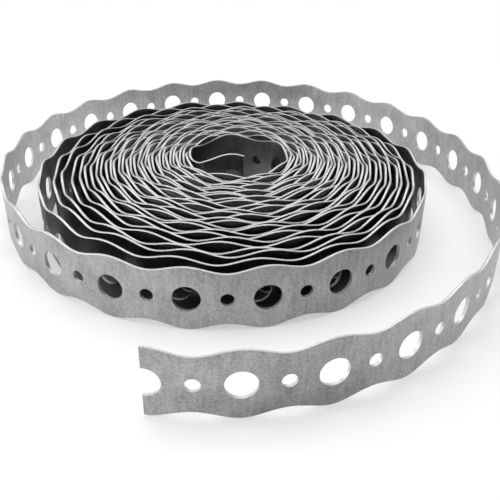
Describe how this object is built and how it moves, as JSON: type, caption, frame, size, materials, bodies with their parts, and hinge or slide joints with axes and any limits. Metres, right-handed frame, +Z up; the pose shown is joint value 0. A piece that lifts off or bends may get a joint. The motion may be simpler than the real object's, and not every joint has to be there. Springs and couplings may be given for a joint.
{
  "type": "perforated steel strap",
  "caption": "Loose coil of wavy-edged perforated steel strap with alternating large and small holes, for hanging and fixing pipes and frames.",
  "frame": {"origin": "middle of the object's outline on the floor it stands on", "axes": "+Z up across the strap's width, +Y away from the free end, +X to its right"},
  "size_m": [0.1524, 0.1834, 0.0175],
  "materials": {
    "zinc": "satin galvanised"
  },
  "bodies": {
    "root": {"strap": "zinc"}
  },
  "joints": []
}
